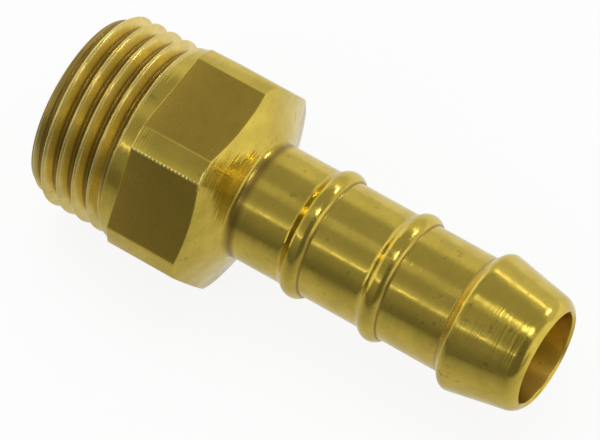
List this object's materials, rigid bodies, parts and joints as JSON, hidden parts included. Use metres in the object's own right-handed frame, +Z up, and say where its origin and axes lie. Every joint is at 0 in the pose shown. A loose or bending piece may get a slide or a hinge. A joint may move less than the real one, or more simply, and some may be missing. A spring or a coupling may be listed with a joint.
{
  "type": "hose end fitting",
  "caption": "Turned brass hose end fitting: male pipe thread, spanner hexagon, coned shoulder and a hose tail with round beads and an end barb, bored straight through.",
  "frame": {"origin": "on the axis of the bore, in the plane of the hexagon's face on the thread side", "axes": "+X along the axis towards the hose mouth, +Z up with the fitting lying on one flat of its hexagon"},
  "size_m": [0.0547, 0.0236, 0.0216],
  "materials": {
    "brass": "satin, as turned"
  },
  "bodies": {
    "root": {"hose_end_fitting": "brass"}
  },
  "joints": []
}
